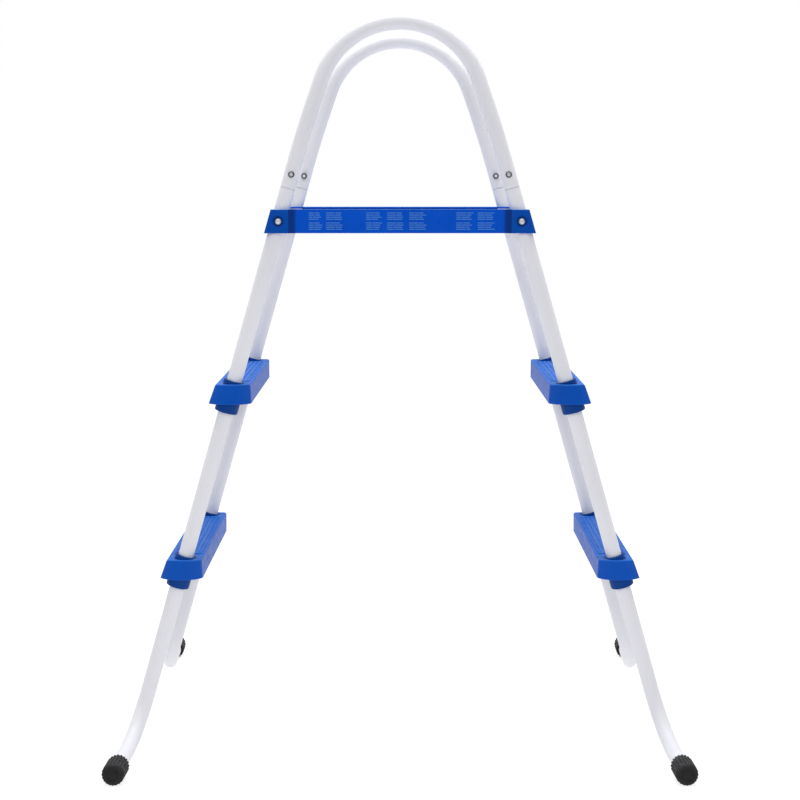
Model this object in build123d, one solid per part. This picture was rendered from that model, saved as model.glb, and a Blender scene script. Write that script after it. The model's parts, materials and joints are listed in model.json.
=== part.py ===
from build123d import *
import math
import os

# A-frame ladder for an above-ground pool with an 84 cm wall.
# Two bent-tube side frames stand side by side and carry two treads on each slope.
# Millimetres. X runs across the pool wall, the way a user climbs; Y runs from one side
# frame to the other; Z is up. The origin is on the ground under the middle of the ladder.
# "right" is +X and "back" is +Y. Everything is drawn in the right, back quarter and
# mirrored into the other three.

# ---------------------------------------------------------------- driving dimensions
OVERALL_HEIGHT = 1205.0
FRAME_SPACING = 366.0        # between the centre planes of the two side frames
TUBE_OD = 25.0
TUBE_WALL = 1.2
LEG_LEAN = 15.8              # of a leg, from the vertical, degrees

FOOT_X = 438.75              # where the leg's axis turns into the foot
FOOT_AXIS_Z = 18.0
FOOT_REACH = 186.0           # tube end, beyond the frame's centre plane
FOOT_SPLAY = 2.0             # of the foot away from Y, degrees
FOOT_BEND_RADIUS = 80.0

JOINT_Z = 925.0              # where the leg tube enters the handrail tube
SPIGOT_LENGTH = 44.0
SPIGOT_CLEARANCE = 0.1
SPIGOT_WALL = 1.2
SPIGOT_NECK = 4.0            # solid end of the leg tube, where it narrows to the spigot
JOINT_CHAMFER = 0.9
HOOP_RADIUS = 134.0
HOOP_LEAN = 19.0             # of the handrail just below its arch, degrees
KNEE_RADIUS = 1800.0         # eases the leg's lean into the handrail's

BOLT_DIAMETER = 6.0
BOLT_HOLE = 6.4
BOLT_HEAD_DIAMETER = 10.5
BOLT_HEAD_HEIGHT = 3.3
BOLT_HEAD_RIM = 0.8          # straight edge under the dome
HEX_SOCKET_WIDTH = 4.0
HEX_SOCKET_DEPTH = 2.0
NUT_WIDTH = 10.0
NUT_HEIGHT = 5.0
NUT_CHAMFER = 0.6
NUT_BORE_CLEARANCE = 0.05
WASHER_DIAMETER = 12.5
WASHER_THICKNESS = 1.2
THREAD_PROUD = 2.0           # bolt tip beyond its nut
HANDRAIL_BOLT_Z = 947.0

BAR_TOP = 890.5
BAR_HEIGHT = 38.5
BAR_DEPTH_HALF = 17.0        # about the side frame's centre plane
BAR_END_BEYOND_AXIS = 17.6   # from the leg's axis to the sloping end, along X
BAR_WALL = 3.0
BAR_RECESS = 8.0             # the middle panel lies back from the end plates
BAR_PLATE_INNER_X = 181.0
BAR_PANEL_HALF = 170.5
BAR_EDGE_ROUND = 1.0
BAR_TUBE_HOLE_CLEARANCE = 0.2
BAR_RIB_THICKNESS = 2.0
BAR_RIB_PITCH = 56.0
BAR_RIBS_EACH_SIDE = 2
DIMPLE_DIAMETER = 17.0       # round recess for the bolt head
DIMPLE_DEPTH = 2.4

TREAD_TOPS = {"upper": 607.0, "lower": 317.5}
TREAD_HEIGHT = 34.0
TREAD_BOTTOM_CORNER_Y = 189.0   # the ends are bowed at the foot
TREAD_BOTTOM_CROWN_Y = 206.0
TREAD_TOP_CORNER_Y = 203.0      # and nearly straight at the top
TREAD_TOP_CROWN_Y = 204.5
TREAD_WALL = 3.0
TREAD_INNER_BOTTOM = -34.0   # section corners, from the leg's axis, outwards positive
TREAD_INNER_TOP = -33.0
TREAD_OUTER_TOP = 24.0
TREAD_OUTER_BOTTOM = 36.5
TREAD_INNER_CORNER_ROUND = 8.5
TREAD_OUTER_CORNER_ROUND = 5.0
TREAD_TOP_ROUND = 2.5
TREAD_ROUND_STEPS = 4        # facets round that edge
TREAD_BOTTOM_CHAMFER = 1.0
PAD_HEIGHT = 0.9             # raised anti-slip pad between the tubes
PAD_LENGTH = 312.0
PAD_INNER = -27.5
PAD_OUTER = 18.0
PAD_CORNER_ROUND = 5.0
GROOVE_COUNT = 6
GROOVE_LENGTH = 298.0
GROOVE_WIDTH = 2.4
TREAD_HOLE = 35.0            # round, on the leg's axis
WELL_OD = 41.0               # sloping tube well round that hole
WELL_FOOT = 7.0              # height of the well's foot above the tread's underside, at the axis
TREAD_RIB_THICKNESS = 2.0
TREAD_LONG_RIBS = (-14.0, 12.0)
TREAD_CROSS_RIB_PITCH = 54.0
TREAD_CROSS_RIBS = 5
TREAD_RIB_FOOT = 4.0

COLLAR_OD = 38.0             # below its shoulder, which carries the tread's well
COLLAR_SEAT_CLEARANCE = 0.3
COLLAR_NECK_OD = 34.4        # above the shoulder, through the tread
COLLAR_CLEARANCE = 0.15
COLLAR_DROP = 14.0           # of its square bottom below the tread's underside, at the axis
COLLAR_RISE = 3.5            # of its neck's square top above the tread's top, at the axis
COLLAR_TOP_ROUND = 1.2
COLLAR_BOTTOM_ROUND = 2.0
SCREW_DIAMETER = 4.0
SCREW_HOLE = 4.2
SCREW_LENGTH = 9.0
SCREW_HEAD_DIAMETER = 7.0
SCREW_HEAD_HEIGHT = 2.4
SCREW_CROSS_WIDTH = 1.0
SCREW_CROSS_LENGTH = 4.0
SCREW_CROSS_DEPTH = 1.2
SCREW_BELOW_TREAD = 8.0

CAP_DIAMETER = 36.0
CAP_ROOT_DIAMETER = 32.4     # between the ribs
CAP_LENGTH = 46.0
CAP_BORE_DEPTH = 40.0
CAP_BORE_CLEARANCE = 0.05
CAP_END_GAP = 0.1
CAP_RIBS = 20
CAP_RIB_RADIUS = 1.6
CAP_END_ROUND = 6.0
CAP_MOUTH_CHAMFER = 1.0
CAP_RING_RADIUS = 9.0        # raised ring on the closed end
CAP_RING_WIDTH = 1.2
CAP_RING_DEPTH = 0.6

# ---------------------------------------------------------------- worked-out places
FRAME_Y = FRAME_SPACING / 2
TUBE_R = TUBE_OD / 2
TUBE_BORE_R = TUBE_R - TUBE_WALL
SPIGOT_R = TUBE_BORE_R - SPIGOT_CLEARANCE
LEAN = math.radians(LEG_LEAN)
LEG_UP = (-math.sin(LEAN), 0, math.cos(LEAN))
LEG_OUT = (math.cos(LEAN), 0, math.sin(LEAN))
BAR_BOTTOM = BAR_TOP - BAR_HEIGHT
BAR_MID = BAR_TOP - BAR_HEIGHT / 2
LEVELS = ("upper", "lower")
SIDES = ("front", "back")
ENDS = ("left", "right")
BIG = 2000.0
STANDING = (Align.CENTER, Align.CENTER, Align.MIN)


def leg_x(z):
    """X of the right-hand leg's axis at height z."""
    return FOOT_X - (z - FOOT_AXIS_Z) * math.tan(LEAN)


def leg_plane(z):
    """A plane square to the right, back leg, on its axis at height z."""
    return Plane(origin=(leg_x(z), FRAME_Y, z), x_dir=LEG_OUT, z_dir=LEG_UP)


def along_y(x, y, z):
    """A plane whose normal points outwards, to +Y, at one point."""
    return Plane(origin=(x, y, z), x_dir=(1, 0, 0), z_dir=(0, 1, 0))


def quarter(shape, end, side):
    """The right, back piece, put at the named end and side."""
    if end == "left":
        shape = mirror(shape, about=Plane.YZ)
    if side == "front":
        shape = mirror(shape, about=Plane.XZ)
    return shape


def pipe(path, radius):
    """A round bar swept along a path."""
    start = Plane(origin=path @ 0, z_dir=path % 0)
    return sweep(start * Circle(radius), path=path)


def rod(plane, radius, low, high):
    """A cylinder on a plane's normal, from one height above it to another."""
    bar = Cylinder(radius, high - low, align=STANDING)
    return plane * Pos(0, 0, low) * bar


# ---------------------------------------------------------------- tubes
def handrail():
    """One arched handrail tube, drilled at each end for the joint bolt."""
    hoop_lean = math.radians(HOOP_LEAN)
    arch_z = OVERALL_HEIGHT - TUBE_R - HOOP_RADIUS
    peak_z = arch_z + HOOP_RADIUS / math.sin(hoop_lean)
    ground_x = leg_x(0)
    knee_z = (peak_z * math.tan(hoop_lean) - ground_x) / (math.tan(hoop_lean) - math.tan(LEAN))
    knee_x = leg_x(knee_z)
    joint_x = leg_x(JOINT_Z)
    path = FilletPolyline(
        (-joint_x, FRAME_Y, JOINT_Z),
        (-knee_x, FRAME_Y, knee_z),
        (0, FRAME_Y, peak_z),
        (knee_x, FRAME_Y, knee_z),
        (joint_x, FRAME_Y, JOINT_Z),
        radius=[KNEE_RADIUS, HOOP_RADIUS, KNEE_RADIUS],
    )
    tube = pipe(path, TUBE_R) - pipe(path, TUBE_BORE_R)
    end_circles = tube.edges().filter_by(GeomType.CIRCLE).group_by(Axis.Z)[0]
    tube = chamfer(end_circles.sort_by(SortBy.RADIUS)[-2:], JOINT_CHAMFER)
    for x in (-leg_x(HANDRAIL_BOLT_Z), leg_x(HANDRAIL_BOLT_Z)):
        tube -= rod(along_y(x, FRAME_Y, HANDRAIL_BOLT_Z), BOLT_HOLE / 2, -TUBE_OD, TUBE_OD)
    return tube


def foot_direction():
    """Unit vector along the right, back foot, outwards."""
    splay = math.radians(FOOT_SPLAY)
    return Vector(math.sin(splay), math.cos(splay), 0)


def foot_point(reach):
    """A point on the foot's axis, so far along it from the leg's axis."""
    return Vector(FOOT_X, FRAME_Y, FOOT_AXIS_Z) + foot_direction() * reach


def leg_path(top_z):
    """The leg's centre line, from a height down to the foot's open end."""
    return FilletPolyline(
        (leg_x(top_z), FRAME_Y, top_z),
        (FOOT_X, FRAME_Y, FOOT_AXIS_Z),
        foot_point(FOOT_REACH),
        radius=FOOT_BEND_RADIUS,
    )


def leg():
    """One leg tube: swaged spigot on top, straight run, foot bent outwards."""
    tube = pipe(leg_path(JOINT_Z), TUBE_R) - pipe(leg_path(JOINT_Z - SPIGOT_NECK), TUBE_BORE_R)
    shoulder = tube.edges().filter_by(GeomType.CIRCLE).sort_by(Axis.Z)[-1]
    tube = chamfer(shoulder, JOINT_CHAMFER)
    joint = leg_plane(JOINT_Z)
    tube += rod(joint, SPIGOT_R, -SPIGOT_NECK / 2, SPIGOT_LENGTH)
    tube -= rod(joint, SPIGOT_R - SPIGOT_WALL, -2 * SPIGOT_NECK, SPIGOT_LENGTH + SPIGOT_NECK)
    for z in (HANDRAIL_BOLT_Z, BAR_MID):
        tube -= rod(along_y(leg_x(z), FRAME_Y, z), BOLT_HOLE / 2, -TUBE_OD, TUBE_OD)
    for level in LEVELS:
        tube -= rod(collar_screw_plane(level), SCREW_HOLE / 2, -TUBE_OD, 0)
    return tube


# ---------------------------------------------------------------- spacer bar
def bar_blank(margin, low, high):
    """The bar's sloping-ended face, shrunk by a margin, as a slab between two depths."""
    top, bottom = BAR_TOP - margin, BAR_BOTTOM + margin
    reach = BAR_END_BEYOND_AXIS - margin / math.cos(LEAN)
    outline = Polyline(
        (-leg_x(bottom) - reach, bottom),
        (leg_x(bottom) + reach, bottom),
        (leg_x(top) + reach, top),
        (-leg_x(top) - reach, top),
        close=True,
    )
    slab = extrude(Plane.XZ * make_face(outline), amount=-(high - low))
    return Pos(0, FRAME_Y + low, 0) * slab


def bar_panel_recess():
    """What is cut from the bar's outer face between the end plates."""
    outer = BAR_DEPTH_HALF
    floor = BAR_DEPTH_HALF - BAR_RECESS
    outline = Polyline(
        (-BAR_PLATE_INNER_X, outer),
        (-BAR_PANEL_HALF, floor),
        (BAR_PANEL_HALF, floor),
        (BAR_PLATE_INNER_X, outer),
        (BAR_PLATE_INNER_X, outer + BAR_RECESS),
        (-BAR_PLATE_INNER_X, outer + BAR_RECESS),
        close=True,
    )
    return Pos(0, FRAME_Y, BAR_BOTTOM - 1) * extrude(make_face(outline), amount=BAR_HEIGHT + 2)


def bar_ribs():
    """Upright stiffening ribs inside the channel, clear of the tubes and bolts."""
    depth = 2 * BAR_DEPTH_HALF - BAR_RECESS - BAR_WALL
    places = [BAR_RIB_PITCH * i for i in range(-BAR_RIBS_EACH_SIDE, BAR_RIBS_EACH_SIDE + 1)]
    rib = Box(BAR_RIB_THICKNESS, depth, BAR_HEIGHT - BAR_WALL)
    centre_y = FRAME_Y - BAR_RECESS / 2
    return [Pos(x, centre_y, BAR_MID) * rib for x in places]


def spacer_bar():
    """The channel bar: end plates over the tubes, recessed middle, open to the inside."""
    half = BAR_DEPTH_HALF
    outer = bar_blank(0, -half, half)
    face = outer.faces().sort_by(Axis.Y)[-1]
    outer = fillet(face.edges(), BAR_EDGE_ROUND)
    bar = outer - bar_panel_recess()
    bar -= bar_blank(BAR_WALL, -half - 1, half - BAR_RECESS - BAR_WALL)
    pocket = bar_blank(BAR_WALL, -half - 1, half - BAR_WALL)
    keep_clear = Box(2 * BAR_PLATE_INNER_X, BIG, BIG)
    bar -= pocket - keep_clear
    for rib in bar_ribs():
        bar += rib
    for sign in (-1, 1):
        hole = rod(leg_plane(BAR_MID), TUBE_R + BAR_TUBE_HOLE_CLEARANCE, -BAR_HEIGHT, BAR_HEIGHT)
        bolt_axis = along_y(leg_x(BAR_MID), FRAME_Y, BAR_MID)
        drill = rod(bolt_axis, BOLT_HOLE / 2, 0, 2 * half)
        dimple = rod(bolt_axis, DIMPLE_DIAMETER / 2, half - DIMPLE_DEPTH, 2 * half)
        for cut in (hole, drill, dimple):
            bar -= cut if sign > 0 else mirror(cut, about=Plane.YZ)
    return bar


# ---------------------------------------------------------------- treads
def tread_middle(level):
    """Where the leg's axis passes half way through a tread."""
    top = TREAD_TOPS[level]
    return Pos(leg_x(top - TREAD_HEIGHT / 2), 0, top - TREAD_HEIGHT)


def between(bottom, top, z):
    """A tread dimension at a height above its underside, from its values at foot and deck."""
    return bottom + (top - bottom) * z / (TREAD_HEIGHT - PAD_HEIGHT)


def tread_section(inset, z):
    """The tread's outline at a height above its underside, shrunk by an inset."""
    inner = between(TREAD_INNER_BOTTOM, TREAD_INNER_TOP, z) + inset
    outer = between(TREAD_OUTER_BOTTOM, TREAD_OUTER_TOP, z) - inset
    side = between(TREAD_BOTTOM_CORNER_Y, TREAD_TOP_CORNER_Y, z) - inset
    crown = between(TREAD_BOTTOM_CROWN_Y, TREAD_TOP_CROWN_Y, z) - inset
    middle = (inner + outer) / 2
    edges = [
        Line((outer, -side), (outer, side)),
        ThreePointArc((outer, side), (middle, crown), (inner, side)),
        Line((inner, side), (inner, -side)),
        ThreePointArc((inner, -side), (middle, -crown), (outer, -side)),
    ]
    face = make_face(edges)
    face = fillet(face.vertices().sort_by(Axis.X)[-2:], TREAD_OUTER_CORNER_ROUND - inset)
    face = fillet(face.vertices().sort_by(Axis.X)[:2], TREAD_INNER_CORNER_ROUND - inset)
    return Pos(0, 0, z) * face


def tread_block(inset, low, high):
    """The tread's tapering block between two heights above its underside."""
    return loft([tread_section(inset, low), tread_section(inset, high)], ruled=True)


def tread_outside():
    """The tread's whole outer form below the pad, with a chamfered foot and a rounded top."""
    foot = TREAD_BOTTOM_CHAMFER
    deck = TREAD_HEIGHT - PAD_HEIGHT
    sections = [tread_section(foot, 0), tread_section(0, foot)]
    for i in range(TREAD_ROUND_STEPS + 1):
        angle = math.pi / 2 * i / TREAD_ROUND_STEPS
        inset = TREAD_TOP_ROUND * (1 - math.cos(angle))
        drop = TREAD_TOP_ROUND * (1 - math.sin(angle))
        sections.append(tread_section(inset, deck - drop))
    return loft(sections, ruled=True)


def sleeve_rod(level, radius, low, high):
    """A round bar on the leg's axis, square-ended, between two heights above a tread's underside."""
    underside = leg_plane(TREAD_TOPS[level] - TREAD_HEIGHT)
    return rod(underside, radius, low / math.cos(LEAN), high / math.cos(LEAN))


def both_ends(shape):
    """A piece at the back end of a tread, and its mirror image at the front."""
    return [shape, mirror(shape, about=Plane.XZ)]


def tread_pad():
    """The raised anti-slip pad and its closed grooves, top face at the full height."""
    width = PAD_OUTER - PAD_INNER
    centre = (PAD_OUTER + PAD_INNER) / 2
    outline = RectangleRounded(width, PAD_LENGTH, PAD_CORNER_ROUND)
    pad = extrude(outline, amount=2 * PAD_HEIGHT)
    pitch = width / GROOVE_COUNT
    groove = extrude(SlotOverall(GROOVE_LENGTH, GROOVE_WIDTH, rotation=90), amount=PAD_HEIGHT)
    for i in range(GROOVE_COUNT):
        x = (i + 0.5) * pitch - width / 2
        pad -= Pos(x, 0, PAD_HEIGHT) * groove
    return Pos(centre, 0, TREAD_HEIGHT - 2 * PAD_HEIGHT) * pad


def tread_ribs():
    """The grid of ribs under the tread; the long ones run to the tubes' centres."""
    height = TREAD_HEIGHT - TREAD_RIB_FOOT - TREAD_WALL / 2
    z = TREAD_RIB_FOOT + height / 2
    ribs = [Pos(x, 0, z) * Box(TREAD_RIB_THICKNESS, FRAME_SPACING, height) for x in TREAD_LONG_RIBS]
    first = -TREAD_CROSS_RIB_PITCH * (TREAD_CROSS_RIBS - 1) / 2
    for i in range(TREAD_CROSS_RIBS):
        y = first + i * TREAD_CROSS_RIB_PITCH
        ribs.append(Pos(0, y, z) * Box(4 * TUBE_OD, TREAD_RIB_THICKNESS, height))
    return ribs


def tread(level):
    """One moulded step: a shell open below, a sloping tube well at each end, an anti-slip top."""
    deck = TREAD_HEIGHT - PAD_HEIGHT
    place = tread_middle(level)
    whole = tread_outside()
    shell = whole - tread_block(TREAD_WALL, -1, deck - TREAD_WALL)
    for rib in tread_ribs():
        shell += rib & whole
    shell = place * (shell + tread_pad())
    well = sleeve_rod(level, WELL_OD / 2, WELL_FOOT, 2 * TREAD_HEIGHT) & (place * whole)
    hole = sleeve_rod(level, TREAD_HOLE / 2, 0, 2 * TREAD_HEIGHT)
    seat = sleeve_rod(level, COLLAR_OD / 2 + COLLAR_SEAT_CLEARANCE, -TREAD_HEIGHT, WELL_FOOT)
    for piece in both_ends(well):
        shell += piece
    for cut in both_ends(hole) + both_ends(seat):
        shell -= cut
    return shell


# ---------------------------------------------------------------- collars
def collar_screw_plane(level):
    """On the collar, facing the other side frame, below the tread."""
    z = TREAD_TOPS[level] - TREAD_HEIGHT - SCREW_BELOW_TREAD
    return Plane(origin=(leg_x(z), FRAME_Y - COLLAR_OD / 2, z), x_dir=LEG_OUT, z_dir=(0, -1, 0))


def collar(level):
    """The stepped sleeve on the tube: its shoulder carries the tread, its neck fills the hole."""
    sleeve = sleeve_rod(level, COLLAR_OD / 2, -COLLAR_DROP, WELL_FOOT)
    bottom = sleeve.edges().filter_by(GeomType.CIRCLE).sort_by(Axis.Z)[0]
    sleeve = fillet(bottom, COLLAR_BOTTOM_ROUND)
    neck = sleeve_rod(level, COLLAR_NECK_OD / 2, 0, TREAD_HEIGHT + COLLAR_RISE)
    rim = neck.edges().filter_by(GeomType.CIRCLE).sort_by(Axis.Z)[-1]
    sleeve += fillet(rim, COLLAR_TOP_ROUND)
    sleeve -= sleeve_rod(level, TUBE_R + COLLAR_CLEARANCE, -COLLAR_OD, 2 * COLLAR_OD)
    sleeve -= rod(collar_screw_plane(level), SCREW_HOLE / 2, -COLLAR_OD / 2, SCREW_LENGTH)
    return sleeve


# ---------------------------------------------------------------- foot cap
def foot_cap():
    """A ribbed rubber cap pushed on the tube's end."""
    mouth = foot_point(FOOT_REACH + CAP_END_GAP - CAP_BORE_DEPTH)
    axis = Plane(origin=mouth, x_dir=(0, 0, 1), z_dir=foot_direction())
    body = Cylinder(CAP_ROOT_DIAMETER / 2, CAP_LENGTH, align=STANDING)
    rib_centre = CAP_DIAMETER / 2 - CAP_RIB_RADIUS
    rib = Cylinder(CAP_RIB_RADIUS, CAP_LENGTH, align=STANDING)
    for i in range(CAP_RIBS):
        body += Rot(0, 0, 360 / CAP_RIBS * i) * Pos(rib_centre, 0, 0) * rib
    envelope = Cylinder(CAP_DIAMETER / 2 + 0.01, CAP_LENGTH, align=STANDING)
    closed_edge = envelope.edges().filter_by(GeomType.CIRCLE).sort_by(Axis.Z)[-1]
    envelope = fillet(closed_edge, CAP_END_ROUND)
    mouth_edge = envelope.edges().filter_by(GeomType.CIRCLE).sort_by(Axis.Z)[0]
    envelope = chamfer(mouth_edge, CAP_MOUTH_CHAMFER)
    cap = body & envelope
    groove = Circle(CAP_RING_RADIUS) - Circle(CAP_RING_RADIUS - CAP_RING_WIDTH)
    cap -= Pos(0, 0, CAP_LENGTH - CAP_RING_DEPTH) * extrude(groove, amount=2 * CAP_RING_DEPTH)
    bore = TUBE_R + CAP_BORE_CLEARANCE
    cap -= Cylinder(bore, 2 * CAP_BORE_DEPTH)
    return axis * cap


# ---------------------------------------------------------------- fasteners
def bolt(plane, length):
    """Button-head bolt: the plane is the head's seat, its normal points out of the head."""
    dome_rise = BOLT_HEAD_HEIGHT - BOLT_HEAD_RIM
    head_r = BOLT_HEAD_DIAMETER / 2
    dome_r = (head_r**2 + dome_rise**2) / (2 * dome_rise)
    head = Cylinder(head_r, BOLT_HEAD_HEIGHT, align=STANDING)
    head &= Pos(0, 0, BOLT_HEAD_HEIGHT - dome_r) * Sphere(dome_r)
    socket = RegularPolygon(HEX_SOCKET_WIDTH / 2, 6, major_radius=False)
    head -= Pos(0, 0, BOLT_HEAD_HEIGHT - HEX_SOCKET_DEPTH) * extrude(socket, amount=2 * HEX_SOCKET_DEPTH)
    return plane * head + rod(plane, BOLT_DIAMETER / 2, -length, 0)


def nut(plane):
    """Hexagon nut standing on a plane."""
    body = extrude(RegularPolygon(NUT_WIDTH / 2, 6, major_radius=False), amount=NUT_HEIGHT)
    bevel = Cylinder(NUT_WIDTH / math.sqrt(3), NUT_HEIGHT, align=STANDING)
    bevel = chamfer(bevel.edges().filter_by(GeomType.CIRCLE), NUT_CHAMFER)
    body = (body & bevel) - Cylinder(BOLT_DIAMETER / 2 + NUT_BORE_CLEARANCE, 4 * NUT_HEIGHT)
    return plane * body


def washer(plane):
    """Plain washer standing on a plane."""
    disc = extrude(Circle(WASHER_DIAMETER / 2) - Circle(BOLT_HOLE / 2), amount=WASHER_THICKNESS)
    return plane * disc


def collar_screw(level):
    """Cross-head screw through the collar and the near wall of the tube."""
    plane = collar_screw_plane(level)
    head = Cylinder(SCREW_HEAD_DIAMETER / 2, SCREW_HEAD_HEIGHT, align=STANDING)
    rim = head.edges().filter_by(GeomType.CIRCLE).sort_by(Axis.Z)[-1]
    head = fillet(rim, SCREW_HEAD_HEIGHT / 2)
    cross_z = SCREW_HEAD_HEIGHT - SCREW_CROSS_DEPTH / 2
    for angle in (0, 90):
        blade = Box(SCREW_CROSS_LENGTH, SCREW_CROSS_WIDTH, SCREW_CROSS_DEPTH)
        head -= Pos(0, 0, cross_z) * Rot(0, 0, angle) * blade
    return plane * head + rod(plane, SCREW_DIAMETER / 2, -SCREW_LENGTH, 0)


def inner_plane(z, offset):
    """Faces the middle of the ladder, on the inner side of a right, back tube."""
    return Plane(origin=(leg_x(z), FRAME_Y - TUBE_R - offset, z), x_dir=(1, 0, 0), z_dir=(0, -1, 0))


def handrail_bolt():
    """Bolt across the handrail joint, head outside."""
    seat = along_y(leg_x(HANDRAIL_BOLT_Z), FRAME_Y + TUBE_R, HANDRAIL_BOLT_Z)
    return bolt(seat, TUBE_OD + NUT_HEIGHT + THREAD_PROUD)


def handrail_nut():
    """Nut of the handrail joint, on the inner side."""
    return nut(inner_plane(HANDRAIL_BOLT_Z, 0))


def bar_bolt():
    """Bolt through the spacer bar's end plate and the leg."""
    seat_depth = BAR_DEPTH_HALF - DIMPLE_DEPTH
    seat = along_y(leg_x(BAR_MID), FRAME_Y + seat_depth, BAR_MID)
    return bolt(seat, seat_depth + TUBE_R + WASHER_THICKNESS + NUT_HEIGHT + THREAD_PROUD)


def bar_washer():
    """Washer under the spacer bar's nut."""
    return washer(inner_plane(BAR_MID, 0))


def bar_nut():
    """Nut of the spacer bar's bolt."""
    return nut(inner_plane(BAR_MID, WASHER_THICKNESS))


# ---------------------------------------------------------------- every node
def in_all_quarters(shape):
    """Four mirrored copies, as one group of separate solids."""
    return [quarter(shape, end, side) for side in SIDES for end in ENDS]


def group(shapes):
    """Separate solids under one node."""
    return Compound(children=[solid for shape in shapes for solid in shape.solids()])


def make_nodes():
    """Every sub-part by name, in its place."""
    nodes = {}
    rail, bar, one_leg, cap = handrail(), spacer_bar(), leg(), foot_cap()
    for side in SIDES:
        nodes[f"handrail_{side}"] = quarter(rail, "right", side)
        nodes[f"spacer_bar_{side}"] = quarter(bar, "right", side)
        for end in ENDS:
            nodes[f"leg_{side}_{end}"] = quarter(one_leg, end, side)
            nodes[f"foot_cap_{side}_{end}"] = quarter(cap, end, side)
    for level in LEVELS:
        step, sleeve = tread(level), collar(level)
        for end in ENDS:
            nodes[f"tread_{level}_{end}"] = quarter(step, end, "back")
            for side in SIDES:
                nodes[f"collar_{level}_{side}_{end}"] = quarter(sleeve, end, side)
    nodes["handrail_bolts"] = group(in_all_quarters(handrail_bolt()))
    nodes["handrail_nuts"] = group(in_all_quarters(handrail_nut()))
    nodes["bar_bolts"] = group(in_all_quarters(bar_bolt()))
    nodes["bar_washers"] = group(in_all_quarters(bar_washer()))
    nodes["bar_nuts"] = group(in_all_quarters(bar_nut()))
    nodes["collar_screws"] = group(
        [piece for level in LEVELS for piece in in_all_quarters(collar_screw(level))]
    )
    return nodes


os.makedirs("parts", exist_ok=True)
for name, shape in make_nodes().items():
    export_step(shape, f"parts/{name}.step")
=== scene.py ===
import json
import math
import random

import bmesh
import bpy
from mathutils import Matrix, Vector


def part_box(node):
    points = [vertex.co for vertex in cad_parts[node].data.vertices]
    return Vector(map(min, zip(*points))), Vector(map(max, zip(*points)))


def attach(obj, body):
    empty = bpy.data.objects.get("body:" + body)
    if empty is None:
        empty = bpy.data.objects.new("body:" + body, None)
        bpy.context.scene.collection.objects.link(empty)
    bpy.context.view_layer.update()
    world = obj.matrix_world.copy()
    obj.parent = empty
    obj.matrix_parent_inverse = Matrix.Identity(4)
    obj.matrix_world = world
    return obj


# Looks for an A-frame pool ladder, built round its CAD frame. Metres; X across the pool
# wall, Y from the front side frame to the back one, Z up, origin on the ground.

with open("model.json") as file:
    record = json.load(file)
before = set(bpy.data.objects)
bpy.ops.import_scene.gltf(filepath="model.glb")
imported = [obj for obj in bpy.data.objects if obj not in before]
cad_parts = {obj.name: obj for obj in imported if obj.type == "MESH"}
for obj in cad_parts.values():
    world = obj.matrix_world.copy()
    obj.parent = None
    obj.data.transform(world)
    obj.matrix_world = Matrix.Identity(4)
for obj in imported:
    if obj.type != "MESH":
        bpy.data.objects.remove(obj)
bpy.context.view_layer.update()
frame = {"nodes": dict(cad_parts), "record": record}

SIDES = ("front", "back")
LEG_LEAN = math.radians(15.8)    # of the straight tubes, from upright


# ---------------------------------------------------------------- camera and light
CAMERA_DISTANCE = 2.709      # to the front side frame's centre plane
CAMERA_HEIGHT = 0.927
CAMERA_TILT = math.radians(4.0)
CAMERA_LENS = 74.84          # millimetres, as is the sensor's width
CAMERA_SENSOR = 36.0
CAMERA_SHIFT = -0.121

WORLD_ACROSS = ((-0.9, 0.6), (0.08, 0.64))   # span of a heading's Y, strengths at its ends
WORLD_UPWARD = ((0.1, 0.9), (0, 0.4))        # the same for its Z, added to the first
LIGHT_AIM = (0, 0, 0.6)
FRONT_LIGHT_OUT = 1.1        # each front light's distance from the camera's line
FRONT_LIGHT_Y = -3.6
FRONT_LIGHT_HEIGHT = 2.6
FRONT_LIGHT_SIZE = 1.8
KEY_POWER = 30
FILL_POWER = 28
OVERHEAD_PLACE = (0, 0.4, 3.8)
OVERHEAD_WIDTH = 3.0
OVERHEAD_DEPTH = 2.4
OVERHEAD_POWER = 95
FLOOR_RADIUS = 30.0
FLOOR_SEGMENTS = 256
FLOOR_IN_FRONT = 2.2         # from the ladder's middle to the floor's near edge
FLOOR_COLOUR = 0.3
FLOOR_GLOW = 0.8
DOME_RADIUS = 29.0
STAGE_ROUGHNESS = 0.9
STAGE_SPECULAR = 0.1


def place_camera():
    """In front of the front side frame, near the height of its bar, tilted a little down."""
    rail_low, rail_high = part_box("handrail_front")
    frame_y = (rail_low.y + rail_high.y) / 2
    data = bpy.data.cameras.new("camera")
    data.lens = CAMERA_LENS
    data.sensor_width = CAMERA_SENSOR
    data.shift_y = CAMERA_SHIFT
    camera = bpy.data.objects.new("camera", data)
    camera.location = (0, frame_y - CAMERA_DISTANCE, CAMERA_HEIGHT)
    camera.rotation_euler = (math.pi / 2 - CAMERA_TILT, 0, 0)
    bpy.context.collection.objects.link(camera)
    bpy.context.scene.camera = camera


def area_light(name, place, width, height, power):
    """A soft rectangular light aimed at the ladder's middle."""
    data = bpy.data.lights.new(name, "AREA")
    data.shape = "RECTANGLE"
    data.size = width
    data.size_y = height
    data.energy = power
    light = bpy.data.objects.new(name, data)
    light.location = place
    aim = Vector(LIGHT_AIM) - Vector(place)
    light.rotation_euler = aim.to_track_quat("-Z", "Y").to_euler()
    bpy.context.collection.objects.link(light)


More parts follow.
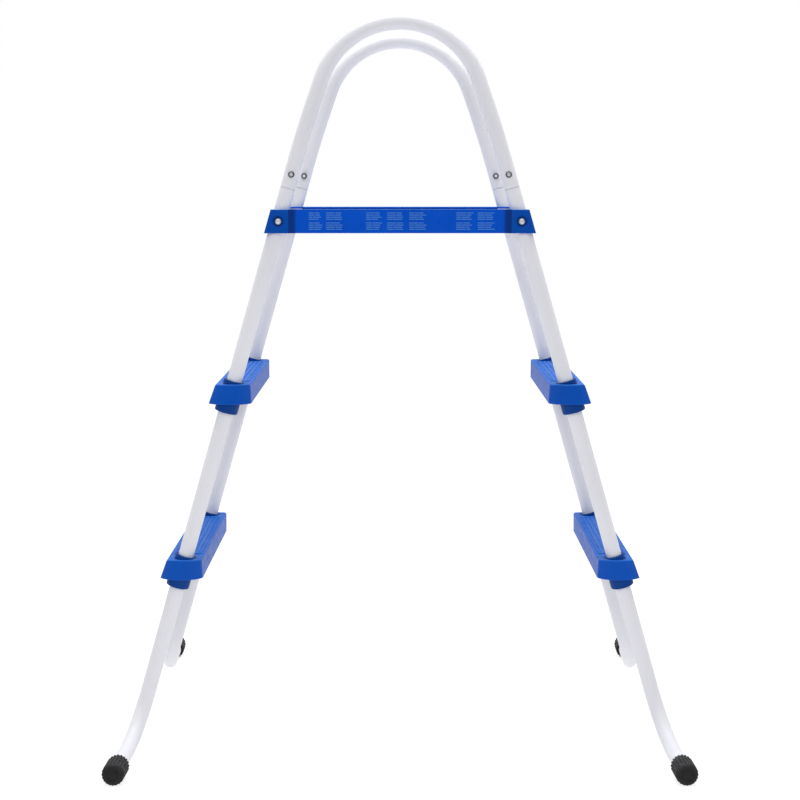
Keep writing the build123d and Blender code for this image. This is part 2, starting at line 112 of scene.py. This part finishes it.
def light_world():
    """Surroundings that are bright behind and above the ladder and dim in front of it."""
    world = bpy.data.worlds.new("studio")
    world.use_nodes = True
    tree = world.node_tree
    split = tree.nodes.new("ShaderNodeSeparateXYZ")
    place = tree.nodes.new("ShaderNodeTexCoord")
    tree.links.new(place.outputs["Generated"], split.inputs["Vector"])
    total = tree.nodes.new("ShaderNodeMath")
    parts = (("Y", *WORLD_ACROSS), ("Z", *WORLD_UPWARD))
    for socket, (axis, heading, strength) in zip(total.inputs, parts):
        span = tree.nodes.new("ShaderNodeMapRange")
        span.interpolation_type = "SMOOTHSTEP"
        span.inputs["From Min"].default_value = heading[0]
        span.inputs["From Max"].default_value = heading[1]
        span.inputs["To Min"].default_value = strength[0]
        span.inputs["To Max"].default_value = strength[1]
        tree.links.new(split.outputs[axis], span.inputs["Value"])
        tree.links.new(span.outputs["Result"], socket)
    background = tree.nodes["Background"]
    background.inputs["Color"].default_value = (1, 1, 1, 1)
    tree.links.new(total.outputs["Value"], background.inputs["Strength"])
    bpy.context.scene.world = world


def light_studio():
    """Two soft boxes in front of the ladder and a big one over it."""
    bpy.context.scene.view_settings.view_transform = "Standard"
    for name, side, power in (("key", -1, KEY_POWER), ("fill", 1, FILL_POWER)):
        place = (side * FRONT_LIGHT_OUT, FRONT_LIGHT_Y, FRONT_LIGHT_HEIGHT)
        area_light(name, place, FRONT_LIGHT_SIZE, FRONT_LIGHT_SIZE, power)
    area_light("overhead", OVERHEAD_PLACE, OVERHEAD_WIDTH, OVERHEAD_DEPTH, OVERHEAD_POWER)


def stage_object(name, mesh, colour, glow):
    """A plain piece of the studio with one dull paint on it."""
    thing = bpy.data.objects.new(name, mesh)
    bpy.context.collection.objects.link(thing)
    material = bpy.data.materials.new(name + "_paint")
    material.use_nodes = True
    shader = material.node_tree.nodes["Principled BSDF"]
    shader.inputs["Base Color"].default_value = (colour, colour, colour, 1)
    shader.inputs["Roughness"].default_value = STAGE_ROUGHNESS
    shader.inputs["Specular IOR Level"].default_value = STAGE_SPECULAR
    shader.inputs["Emission Color"].default_value = (1, 1, 1, 1)
    shader.inputs["Emission Strength"].default_value = glow
    mesh.materials.append(material)
    return thing


def build_stage():
    """A wide pale floor, and a white dome that only the camera sees."""
    mesh = bpy.data.meshes.new("floor")
    bm = bmesh.new()
    centre = Matrix.Translation((0, FLOOR_RADIUS - FLOOR_IN_FRONT, 0))
    bmesh.ops.create_circle(bm, cap_ends=True, segments=FLOOR_SEGMENTS, radius=FLOOR_RADIUS, matrix=centre)
    bm.to_mesh(mesh)
    bm.free()
    stage_object("floor", mesh, colour=FLOOR_COLOUR, glow=FLOOR_GLOW)
    mesh = bpy.data.meshes.new("dome")
    bm = bmesh.new()
    bmesh.ops.create_icosphere(bm, subdivisions=4, radius=DOME_RADIUS)
    bm.to_mesh(mesh)
    bm.free()
    dome = stage_object("dome", mesh, colour=0.0, glow=1.0)
    dome.visible_diffuse = False
    dome.visible_glossy = False
    dome.visible_transmission = False
    dome.visible_volume_scatter = False
    dome.visible_shadow = False


# ---------------------------------------------------------------- materials
COAT = (0.80, 0.80, 0.855)
COAT_SHADE = (0.77, 0.77, 0.825)
COAT_RUBBED = (0.66, 0.66, 0.70)
# painted shade for the coat low down
COAT_LOW_SHADE = (0.50, 0.50, 0.51)
# painted shade for the joint where a leg enters its handrail tube
COAT_JOINT_SHADE = (0.36, 0.36, 0.40)
TREAD = (0.0010, 0.081, 0.48)
TREAD_SHADE = (0.0008, 0.069, 0.41)
# painted light for the tread's upward faces, with dust
TREAD_TOP_LIT = (0.010, 0.140, 0.54)
BAR = (0.0008, 0.085, 0.60)
BAR_SHADE = (0.0008, 0.075, 0.54)
# painted shade for the step beside each end plate
BAR_STEP_SHADE = (0.0006, 0.034, 0.22)
# painted shade for the end plates
BAR_PLATE_SHADE = (0.0012, 0.068, 0.40)
# painted light for the bar's upward faces
BAR_TOP_LIT = (0.030, 0.210, 0.66)
# painted shade for the dimples round the bolts
BAR_DIMPLE_SHADE = (0.001, 0.03, 0.16)
SLEEVE = (0.0012, 0.050, 0.27)
SLEEVE_SHADE = (0.001, 0.042, 0.22)
RUBBER = (0.008, 0.008, 0.009)
# painted light for the caps' upward faces, with dust
RUBBER_TOP_LIT = (0.055, 0.055, 0.058)
ZINC = (0.86, 0.89, 0.95)
ZINC_STAINED = (0.66, 0.69, 0.75)
# painted dark reflection towards a bolt head's rim
ZINC_PAINTED_DARK = (0.035, 0.035, 0.042)
INK = (0.09, 0.26, 0.62)
INK_THIN = (0.02, 0.13, 0.60)

# Spans over which a mark fades in or out: of a noise's value, or in metres.
CLOUDS = (0.35, 0.65)
PATCHES = (0.3, 0.7)
# heights over which the coat's painted shade fades out
LOW_SHADE_HEIGHTS = (0.0, 0.65)
JOINT_SHADE_EDGE = (0.0004, 0.0014)       # from the joint's plane, along the leg, over which its painted shade fades
BAR_OUTER_SIDE = (0.1890, 0.1905)  # out along Y
BAR_STEP_SHADE_EDGE = (0.1675, 0.1730)   # out along X, from the panel into the step's painted shade
BAR_PLATE_SHADE_EDGE = (0.1800, 0.1815)  # out along X, from the step into the end plate's painted shade
BAR_DIMPLE_SHADE_EDGE = (0.0065, 0.0105)  # from a bolt's axis, over which the dimple's painted shade fades

PLASTIC_SPECULAR = 0.12
BAR_BOLT_RIM = 0.0048              # from a bolt's axis, where its painted dark reflection is full
BAR_BOLT_PAINTED_DARK = 0.45
HANDRAIL_BOLT_RIM = 0.0034
HANDRAIL_BOLT_PAINTED_DARK = 0.93
PAINTED_DARK_START = 0.6                  # of that radius, where the painted dark reflection begins


class Shader:
    """A new node material, with short ways to add and join its nodes."""

    def __init__(self, name, **sockets):
        self.material = bpy.data.materials.new(name)
        self.material.use_nodes = True
        self.tree = self.material.node_tree
        self.surface = self.tree.nodes["Principled BSDF"]
        for socket, value in sockets.items():
            self.surface.inputs[socket.replace("_", " ")].default_value = value
        self.place = self.node("ShaderNodeTexCoord").outputs["Object"]

    def node(self, kind, **settings):
        """Adds a node and sets its properties."""
        made = self.tree.nodes.new(kind)
        for key, value in settings.items():
            setattr(made, key, value)
        return made

    def feed(self, socket, value):
        """Sets a socket to a number or a vector, or joins another node's output to it."""
        if isinstance(value, bpy.types.NodeSocket):
            self.tree.links.new(value, socket)
        else:
            socket.default_value = value

    def shade(self, socket, output):
        """Feeds an output into the surface shader."""
        self.feed(self.surface.inputs[socket], output)

    def maths(self, operation, *values):
        """The result of an operation on numbers or other nodes' outputs."""
        made = self.node("ShaderNodeMath", operation=operation)
        for socket, value in zip(made.inputs, values):
            self.feed(socket, value)
        return made.outputs["Value"]

    def vector_maths(self, operation, *values, result="Vector"):
        """The result of an operation on vectors or other nodes' outputs."""
        made = self.node("ShaderNodeVectorMath", operation=operation)
        for socket, value in zip(made.inputs, values):
            self.feed(socket, value)
        return made.outputs[result]

    def component(self, vector, axis):
        """One component of a vector."""
        split = self.node("ShaderNodeSeparateXYZ")
        self.feed(split.inputs["Vector"], vector)
        return split.outputs[axis]

    def noise(self, scale, detail=4.0, stretch=(1, 1, 1)):
        """A cloudy value about 0.5, with so many cells to the metre."""
        mapping = self.node("ShaderNodeMapping")
        mapping.inputs["Scale"].default_value = stretch
        self.feed(mapping.inputs["Vector"], self.place)
        made = self.node("ShaderNodeTexNoise")
        made.inputs["Scale"].default_value = scale
        made.inputs["Detail"].default_value = detail
        self.feed(made.inputs["Vector"], mapping.outputs["Vector"])
        return made.outputs["Fac"]

    def ramp(self, value, span, results):
        """Maps a value within a span to a number between two results, and clamps it there."""
        made = self.node("ShaderNodeMapRange")
        limits = dict(zip(("From Min", "From Max", "To Min", "To Max"), (*span, *results)))
        for socket, number in limits.items():
            made.inputs[socket].default_value = number
        self.feed(made.inputs["Value"], value)
        return made.outputs["Result"]

    def height(self):
        """Height above the ground, in metres."""
        return self.component(self.place, "Z")

    def facing_up(self):
        """1 where the surface faces up, 0 where it is upright or faces down."""
        normal = self.node("ShaderNodeNewGeometry").outputs["Normal"]
        return self.ramp(self.component(normal, "Z"), (0.0, 0.9), (0, 1))

    def out_from_middle(self, axis):
        """Distance from the ladder's middle along an axis, in metres."""
        return self.maths("ABSOLUTE", self.component(self.place, axis))

    def from_bolts(self, centre):
        """Distance in the X-Z plane from a bolt's axis or its mirror image, in metres."""
        folded = self.vector_maths("ABSOLUTE", self.place)
        offset = self.vector_maths("SUBTRACT", folded, centre)
        flat = self.vector_maths("MULTIPLY", offset, (1, 0, 1))
        return self.vector_maths("LENGTH", flat, result="Value")

    def from_joint(self):
        """Distance along a leg from the plane where it enters its handrail tube, in metres."""
        rail = frame["nodes"]["handrail_front"].data
        end = min((v.co for v in rail.vertices), key=lambda co: co.z)
        joint = end.z * math.cos(LEG_LEAN) - abs(end.x) * math.sin(LEG_LEAN)
        up_leg = (-math.sin(LEG_LEAN), 0, math.cos(LEG_LEAN))
        folded = self.vector_maths("ABSOLUTE", self.place)
        along = self.vector_maths("DOT_PRODUCT", folded, up_leg, result="Value")
        return self.maths("ABSOLUTE", self.maths("SUBTRACT", along, joint))

    def blend(self, factor, first, second):
        """Mixes two colours, each a colour or another node's output."""
        made = self.node("ShaderNodeMix", data_type="RGBA")
        self.feed(made.inputs["Factor"], factor)
        sockets = [s for s in made.inputs if s.type == "RGBA"]
        for socket, colour in zip(sockets, (first, second)):
            is_output = isinstance(colour, bpy.types.NodeSocket)
            self.feed(socket, colour if is_output else (*colour, 1))
        return [s for s in made.outputs if s.type == "RGBA"][0]

    def bump(self, height, distance, under=None):
        """Turns a height of up to so many metres into a normal, over another bump if given."""
        made = self.node("ShaderNodeBump")
        made.inputs["Distance"].default_value = distance
        self.feed(made.inputs["Height"], height)
        if under is not None:
            self.feed(made.inputs["Normal"], under)
        return made.outputs["Normal"]


def powder_coat():
    """Satin white powder coat: orange peel, faint rub marks along the tube, painted shade low down and at
    each leg's joint.
    """
    paint = Shader("white_powder_coat", Specular_IOR_Level=0.35)
    clouds = paint.ramp(paint.noise(7.0), CLOUDS, (0, 1))
    colour = paint.blend(clouds, COAT, COAT_SHADE)
    rubs = paint.ramp(paint.noise(55.0, detail=8.0, stretch=(1, 1, 0.12)), (0.62, 0.76), (0, 0.22))
    colour = paint.blend(rubs, colour, COAT_RUBBED)
    # painted shade: the coat darkens towards the ground
    painted_light = paint.ramp(paint.height(), LOW_SHADE_HEIGHTS, (0.18, 0.0))
    colour = paint.blend(painted_light, colour, COAT_LOW_SHADE)
    # painted shade in the joint where the leg enters its handrail tube
    joint_shade = paint.ramp(paint.from_joint(), JOINT_SHADE_EDGE, (0.25, 0.0))
    colour = paint.blend(joint_shade, colour, COAT_JOINT_SHADE)
    paint.shade("Base Color", colour)
    paint.shade("Roughness", paint.ramp(paint.noise(60.0), PATCHES, (0.34, 0.5)))
    fine = paint.bump(paint.noise(420.0, detail=3.0), 0.00006)
    paint.shade("Normal", paint.bump(paint.noise(130.0, detail=2.0), 0.00008, under=fine))
    return paint.material


def mottled(plastic, light, dark):
    """The plastic's colour, with slow changes of shade along the moulding."""
    flow = plastic.ramp(plastic.noise(14.0, detail=5.0, stretch=(1, 0.35, 1)), CLOUDS, (0, 1))
    return plastic.blend(flow, light, dark)


def add_grain(plastic, gloss, grain, depth):
    """Patchy gloss with fine scratches along Y, and a moulded grain."""
    lines = plastic.noise(260.0, detail=3.0, stretch=(1, 0.04, 0.6))
    scratches = plastic.ramp(lines, (0.66, 0.74), (0, 0.12))
    patches = plastic.ramp(plastic.noise(90.0), PATCHES, gloss)
    plastic.shade("Roughness", plastic.maths("ADD", patches, scratches))
    plastic.shade("Normal", plastic.bump(plastic.noise(grain, detail=2.0), depth))


def tread_plastic():
    """Blue plastic with a coarse grain; faces that look up are paler in patches, painted light with dust.
    """
    plastic = Shader("tread_plastic", Specular_IOR_Level=PLASTIC_SPECULAR)
    colour = mottled(plastic, TREAD, TREAD_SHADE)
    # painted light: upward faces are paler in patches, with dust
    painted_light = plastic.ramp(plastic.noise(38.0, detail=6.0), (0.3, 0.8), (0.45, 1.0))
    painted_light = plastic.maths("MULTIPLY", plastic.facing_up(), painted_light)
    plastic.shade("Base Color", plastic.blend(painted_light, colour, TREAD_TOP_LIT))
    add_grain(plastic, (0.36, 0.5), 1100.0, 0.00010)
    return plastic.material


def bolt_centre(node):
    """Where a bolt's axis on the right crosses the X-Z plane, from the group of bolts' box."""
    low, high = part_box(node)
    head_radius = (high.z - low.z) / 2
    return high.x - head_radius, 0, (low.z + high.z) / 2


def bar_plastic():
    """Glossier blue plastic: painted shade on the end plates, darker painted shade in the steps beside
    them and in the dimples round the bolts, painted light on faces that look up.
    """
    plastic = Shader("bar_plastic", Specular_IOR_Level=PLASTIC_SPECULAR)
    colour = mottled(plastic, BAR, BAR_SHADE)
    out = plastic.out_from_middle("X")
    outer_side = plastic.ramp(plastic.out_from_middle("Y"), BAR_OUTER_SIDE, (0, 1))
    # painted shade on the bar's outer side: the steps beside the end plates, then the end plates
    for edge, shade in ((BAR_STEP_SHADE_EDGE, BAR_STEP_SHADE), (BAR_PLATE_SHADE_EDGE, BAR_PLATE_SHADE)):
        beyond = plastic.maths("MULTIPLY", plastic.ramp(out, edge, (0, 1)), outer_side)
        colour = plastic.blend(beyond, colour, shade)
    # painted light: faces that look up are paler
    colour = plastic.blend(plastic.facing_up(), colour, BAR_TOP_LIT)
    # painted shade in the dimple round each bolt
    bolt_distance = plastic.from_bolts(bolt_centre("bar_bolts"))
    painted_darkening = plastic.ramp(bolt_distance, BAR_DIMPLE_SHADE_EDGE, (0.75, 0.0))
    plastic.shade("Base Color", plastic.blend(painted_darkening, colour, BAR_DIMPLE_SHADE))
    add_grain(plastic, (0.26, 0.38), 800.0, 0.00004)
    return plastic.material


def collar_plastic():
    """Dark blue plastic of the sleeves, satin and lightly grained."""
    plastic = Shader("collar_plastic", Specular_IOR_Level=PLASTIC_SPECULAR)
    plastic.shade("Base Color", mottled(plastic, SLEEVE, SLEEVE_SHADE))
    add_grain(plastic, (0.4, 0.55), 1100.0, 0.00008)
    return plastic.material


def cap_rubber():
    """Matt black rubber, greyer in patches where it faces up: painted light, with dust."""
    rubber = Shader("cap_rubber", Specular_IOR_Level=0.25)
    # painted light: upward faces are greyer in patches, with dust
    painted_light = rubber.ramp(rubber.noise(110.0, detail=6.0), (0.35, 0.75), (0.1, 1.0))
    painted_light = rubber.maths("MULTIPLY", rubber.facing_up(), painted_light)
    rubber.shade("Base Color", rubber.blend(painted_light, RUBBER, RUBBER_TOP_LIT))
    rubber.shade("Roughness", rubber.ramp(rubber.noise(160.0), PATCHES, (0.5, 0.72)))
    rubber.shade("Normal", rubber.bump(rubber.noise(900.0, detail=3.0), 0.00008))
    return rubber.material


def zinc_steel(name, bolts, rim, painted_darkening):
    """Pale clouded zinc plate, painted so much darker further than a radius from the bolts' axes: a
    painted reflection, bright at the centre and dark towards the rim.
    """
    zinc = Shader(name, Metallic=0.75)
    stain = zinc.ramp(zinc.noise(260.0), (0.35, 0.7), (0, 1))
    colour = zinc.blend(stain, ZINC, ZINC_STAINED)
    # painted reflection: the head darkens beyond a radius from its axis
    bolt_distance = zinc.from_bolts(bolt_centre(bolts))
    dark = zinc.ramp(bolt_distance, (rim * PAINTED_DARK_START, rim), (0, painted_darkening))
    zinc.shade("Base Color", zinc.blend(dark, colour, ZINC_PAINTED_DARK))
    zinc.shade("Roughness", zinc.ramp(zinc.noise(700.0), PATCHES, (0.35, 0.55)))
    zinc.shade("Normal", zinc.bump(zinc.noise(1500.0, detail=2.0), 0.00003))
    return zinc.material


def print_ink():
    """Pale blue printing ink, thin and patchy."""
    ink = Shader("print_ink", Specular_IOR_Level=PLASTIC_SPECULAR)
    thin = ink.ramp(ink.noise(600.0, detail=5.0), (0.4, 0.75), (0, 0.5))
    ink.shade("Base Color", ink.blend(thin, INK, INK_THIN))
    ink.shade("Roughness", ink.ramp(ink.noise(300.0), PATCHES, (0.4, 0.55)))
    return ink.material


def dress(material, names):
    """Gives CAD nodes one material all over."""
    for name in names:
        node = frame["nodes"][name]
        node.data.materials.clear()
        node.data.materials.append(material)


def dress_everything():
    """A finish for every CAD node, by its material slot. The handrails' bolts and nuts get more of the
    painted dark reflection.
    """
    by_slot = {
        "white_powder_coat": powder_coat(),
        "tread_plastic": tread_plastic(),
        "bar_plastic": bar_plastic(),
        "collar_plastic": collar_plastic(),
        "cap_rubber": cap_rubber(),
        "zinc_steel": zinc_steel("zinc_steel", "bar_bolts", BAR_BOLT_RIM, BAR_BOLT_PAINTED_DARK),
    }
    for part in frame["record"]["subparts"]:
        dress(by_slot[part["material_slot"]], [part["node"]])
    # painted dark reflection on the handrails' bolts and nuts, stronger than on the bar's
    painted_dark_zinc = zinc_steel("zinc_steel_painted_dark", "handrail_bolts", HANDRAIL_BOLT_RIM, HANDRAIL_BOLT_PAINTED_DARK)
    dress(painted_dark_zinc, ["handrail_bolts", "handrail_nuts"])


# ---------------------------------------------------------------- printed panels
PRINT_COLUMNS = (-0.148, -0.120, -0.055, -0.021, 0.015, 0.091, 0.126)    # left edges
PRINT_WIDTHS = (0.022, 0.028, 0.026, 0.027, 0.029, 0.029, 0.028)
PRINT_LENGTHS = (0.72, 1.0)      # shortest and longest line, of its column's width
PRINT_BREAKS = (0.25, 0.55)      # where a line may break, in the same measure
PRINT_GAP = 0.001
PRINT_SEED = 3
PRINT_ROWS = (0.0050, 0.0212)    # tops of the two rows, below the bar's top
PRINT_LINES = 4
PRINT_PITCH = 0.0034
PRINT_STROKE = 0.0013
PRINT_PROUD = 0.00008
PRINT_SUNK = 0.00004             # how far a stroke's back lies in the plastic


def panel_face(bar, side):
    """Y of a spacer bar's outer panel, found by a ray along Y, which way it faces, and its top."""
    low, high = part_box(bar.name)
    outward = -1 if side == "front" else 1
    start = Vector((0, outward, (low.z + high.z) / 2))
    place = bar.ray_cast(start, Vector((0, -outward, 0)))[1]
    return place.y, outward, high.z


def print_strokes(rng):
    """Left, right and top of every stroke: ragged lines broken in two, in blocks."""
    for left, width in zip(PRINT_COLUMNS, PRINT_WIDTHS):
        for row in PRINT_ROWS:
            for line in range(PRINT_LINES):
                top = row + line * PRINT_PITCH
                end = left + width * rng.uniform(*PRINT_LENGTHS)
                gap = left + width * rng.uniform(*PRINT_BREAKS)
                yield left, gap, top
                yield gap + PRINT_GAP, end, top


def print_panel(side, ink):
    """Blocks of plain strokes printed on one spacer bar's outer panel."""
    bar = frame["nodes"][f"spacer_bar_{side}"]
    face_y, outward, bar_top = panel_face(bar, side)
    mesh = bpy.data.meshes.new(f"print_{side}")
    bm = bmesh.new()
    depth = PRINT_PROUD + PRINT_SUNK
    middle_y = face_y + outward * (PRINT_PROUD - PRINT_SUNK) / 2
    for left, right, top in print_strokes(random.Random(PRINT_SEED)):
        centre = Vector(((left + right) / 2, middle_y, bar_top - top - PRINT_STROKE / 2))
        size = Matrix.Diagonal((right - left, depth, PRINT_STROKE, 1))
        bmesh.ops.create_cube(bm, size=1, matrix=Matrix.Translation(centre) @ size)
    bm.to_mesh(mesh)
    bm.free()
    mesh.materials.append(ink)
    printed = bpy.data.objects.new(f"print_{side}", mesh)
    bpy.context.collection.objects.link(printed)
    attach(printed, "frame")


# ---------------------------------------------------------------- the whole scene
place_camera()
light_world()
light_studio()
build_stage()
dress_everything()
ink = print_ink()
for side in SIDES:
    print_panel(side, ink)
